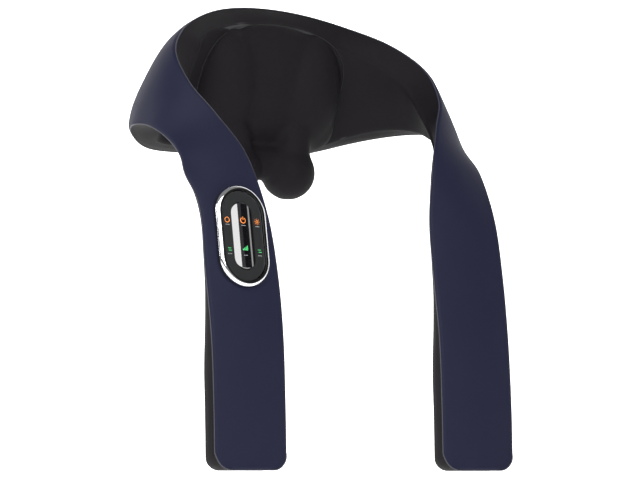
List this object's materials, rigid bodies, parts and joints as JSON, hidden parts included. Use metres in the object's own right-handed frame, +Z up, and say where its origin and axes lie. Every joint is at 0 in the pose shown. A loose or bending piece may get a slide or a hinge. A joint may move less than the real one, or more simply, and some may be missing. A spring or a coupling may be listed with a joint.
{
  "type": "shiatsu neck massager",
  "caption": "Wearable U-shaped shiatsu neck massager with padded straps, a domed kneading pad behind the neck and a stadium-shaped control panel on one strap.",
  "frame": {"origin": "middle of the support line on the wearer's shoulders, on the middle plane", "axes": "+X to the wearer's left, -Y forward (the way the wearer faces), +Z up"},
  "size_m": [0.368, 0.2436, 0.4721],
  "materials": {
    "navy_cover": "fine matte grain",
    "black_knit": "fine matte knit",
    "foam": "open-cell foam",
    "spring_steel": "satin",
    "steel": "ground",
    "abs_grey": "fine texture",
    "acetal": "smooth",
    "bronze": "sintered",
    "soft_head": "soft matte",
    "charcoal": "fine matte",
    "gloss_black": "polished",
    "chrome": "polished",
    "board": "solder mask",
    "board_parts": "moulded",
    "film": "polyimide",
    "cable": "matte",
    "cell_wrap": "foil",
    "port_steel": "satin"
  },
  "bodies": {
    "massager": {"outer_cover": "navy_cover", "inner_cover": "black_knit", "massage_pad_cover": "black_knit", "yoke_foam": "foam", "left_strap_foam": "foam", "right_strap_foam": "foam", "left_shaping_spring": "spring_steel", "right_shaping_spring": "spring_steel", "control_cable": "cable", "battery_cable": "cable", "charging_cable": "cable", "gearbox_rear_housing": "abs_grey", "gearbox_front_housing": "abs_grey", "housing_screws": "steel", "lever_bushes": "bronze", "motor": "steel", "reduction_pin": "steel", "main_board": "board", "heating_film": "film", "panel_tray": "charcoal", "control_board": "board", "tactile_switches": "board_parts", "key_pivot_pin": "steel", "chrome_bezel": "chrome", "battery_case": "abs_grey", "battery_lid": "abs_grey", "battery_cell": "cell_wrap", "battery_guard_board": "board", "charging_port_frame": "cable", "charging_port": "port_steel"},
    "left_lever": {"left_lever_shaft": "steel", "left_sector_gear": "acetal", "left_lever": "abs_grey", "left_palm_head": "soft_head", "left_thumb_head": "soft_head"},
    "right_lever": {"right_lever_shaft": "steel", "right_sector_gear": "acetal", "right_lever": "abs_grey", "right_palm_head": "soft_head", "right_thumb_head": "soft_head"},
    "reduction": {"reduction_gear": "acetal"},
    "motor_rotor": {"motor_shaft_gear": "bronze"},
    "ring_key": {"ring_key": "charcoal"},
    "centre_key": {"centre_key": "gloss_black"}
  },
  "joints": [
    {"name": "left_lever_swing", "type": "hinge", "parent": "massager", "child": "left_lever", "pos_m": [0.044, 0.04351, 0.04895], "axis": [0, -0.9627, -0.2705], "range_deg": [-5, 5]},
    {"name": "right_lever_swing", "type": "hinge", "parent": "massager", "child": "right_lever", "pos_m": [-0.044, 0.04351, 0.04895], "axis": [0, -0.9627, -0.2705], "range_deg": [-5, 5]},
    {"name": "reduction_turn", "type": "hinge", "parent": "massager", "child": "reduction", "pos_m": [0, 0.04096, 0.05803], "axis": [0, -0.9627, -0.2705], "range_deg": [-20.5, 20.5]},
    {"name": "motor_turn", "type": "hinge", "parent": "massager", "child": "motor_rotor", "pos_m": [0, 0.04806, 0.03276], "axis": [0, -0.9627, -0.2705], "range_deg": [-60, 60]},
    {"name": "ring_key_press", "type": "slide", "parent": "massager", "child": "ring_key", "axis": [-0.0461, 0.9799, -0.1943], "range_m": [0, 0.0006], "stiffness_N_per_m": 800},
    {"name": "centre_key_rock", "type": "hinge", "parent": "massager", "child": "centre_key", "pos_m": [-0.1329, -0.129, -0.11269], "axis": [0.9988, 0.0417, -0.027], "range_deg": [-2, 2], "stiffness_Nm_per_rad": 0.4}
  ],
  "couplings": [
    {"joint": "right_lever_swing", "follows": "left_lever_swing", "ratio": 1},
    {"joint": "reduction_turn", "follows": "left_lever_swing", "ratio": -4},
    {"joint": "motor_turn", "follows": "left_lever_swing", "ratio": 11.556}
  ]
}
